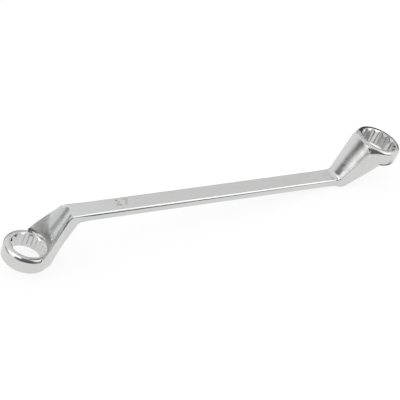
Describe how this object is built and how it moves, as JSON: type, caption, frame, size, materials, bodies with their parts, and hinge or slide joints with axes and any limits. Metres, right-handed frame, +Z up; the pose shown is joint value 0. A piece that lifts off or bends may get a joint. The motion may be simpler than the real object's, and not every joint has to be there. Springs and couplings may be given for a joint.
{
  "type": "double-ended offset ring spanner",
  "caption": "Deep-offset ring spanner in satin chrome: a flat shank cranked at both ends into rings with rounded 12-point bores, one opening up and the other down.",
  "frame": {"origin": "middle of the bounding box's bottom, on the bench", "axes": "+X along the length from the 27 mm ring to the 30 mm ring, +Y across, +Z up from the bench that the spanner rests on"},
  "size_m": [0.395, 0.0456, 0.0493],
  "materials": {
    "satin_chrome": "satin"
  },
  "bodies": {
    "root": {"spanner_forging": "satin_chrome"}
  },
  "joints": []
}
